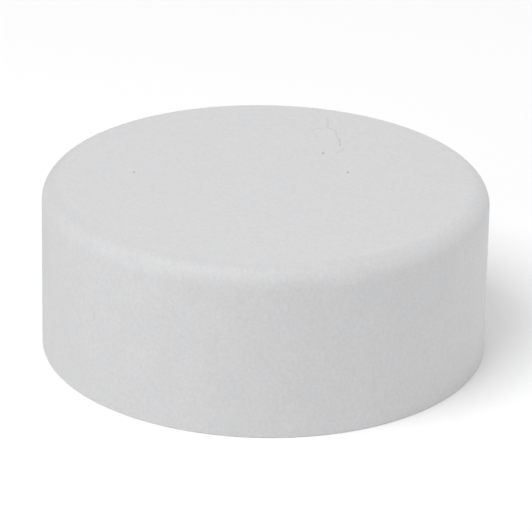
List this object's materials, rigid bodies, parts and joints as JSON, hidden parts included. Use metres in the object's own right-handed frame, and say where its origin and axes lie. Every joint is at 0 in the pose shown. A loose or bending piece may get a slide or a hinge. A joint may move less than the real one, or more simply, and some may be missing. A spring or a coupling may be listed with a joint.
{
  "type": "pipe cap",
  "caption": "Round push-fit end cap for a drainage pipe: flat closed end, rounded crown edge, straight side, ribbed socket inside, and a lip seal that a snap-in ring holds in the mouth.",
  "frame": {"origin": "centre of the mouth, in the plane of the rim that the cap stands on", "axes": "+Z along the cap's axis, from the open mouth to the closed end; X and Y across the mouth, with +X midway between two guide ribs"},
  "size_m": [0.1244, 0.1244, 0.0481],
  "materials": {
    "pvc_white": "white PVC-U as moulded, matt, with a very fine grain",
    "epdm_black": "black EPDM rubber, matt, with a thin film of lubricant on the lip",
    "pp_ring": "pale grey polypropylene as moulded, satin"
  },
  "bodies": {
    "root": {"cap_shell": "pvc_white", "lip_seal": "epdm_black", "retaining_ring": "pp_ring"}
  },
  "joints": []
}
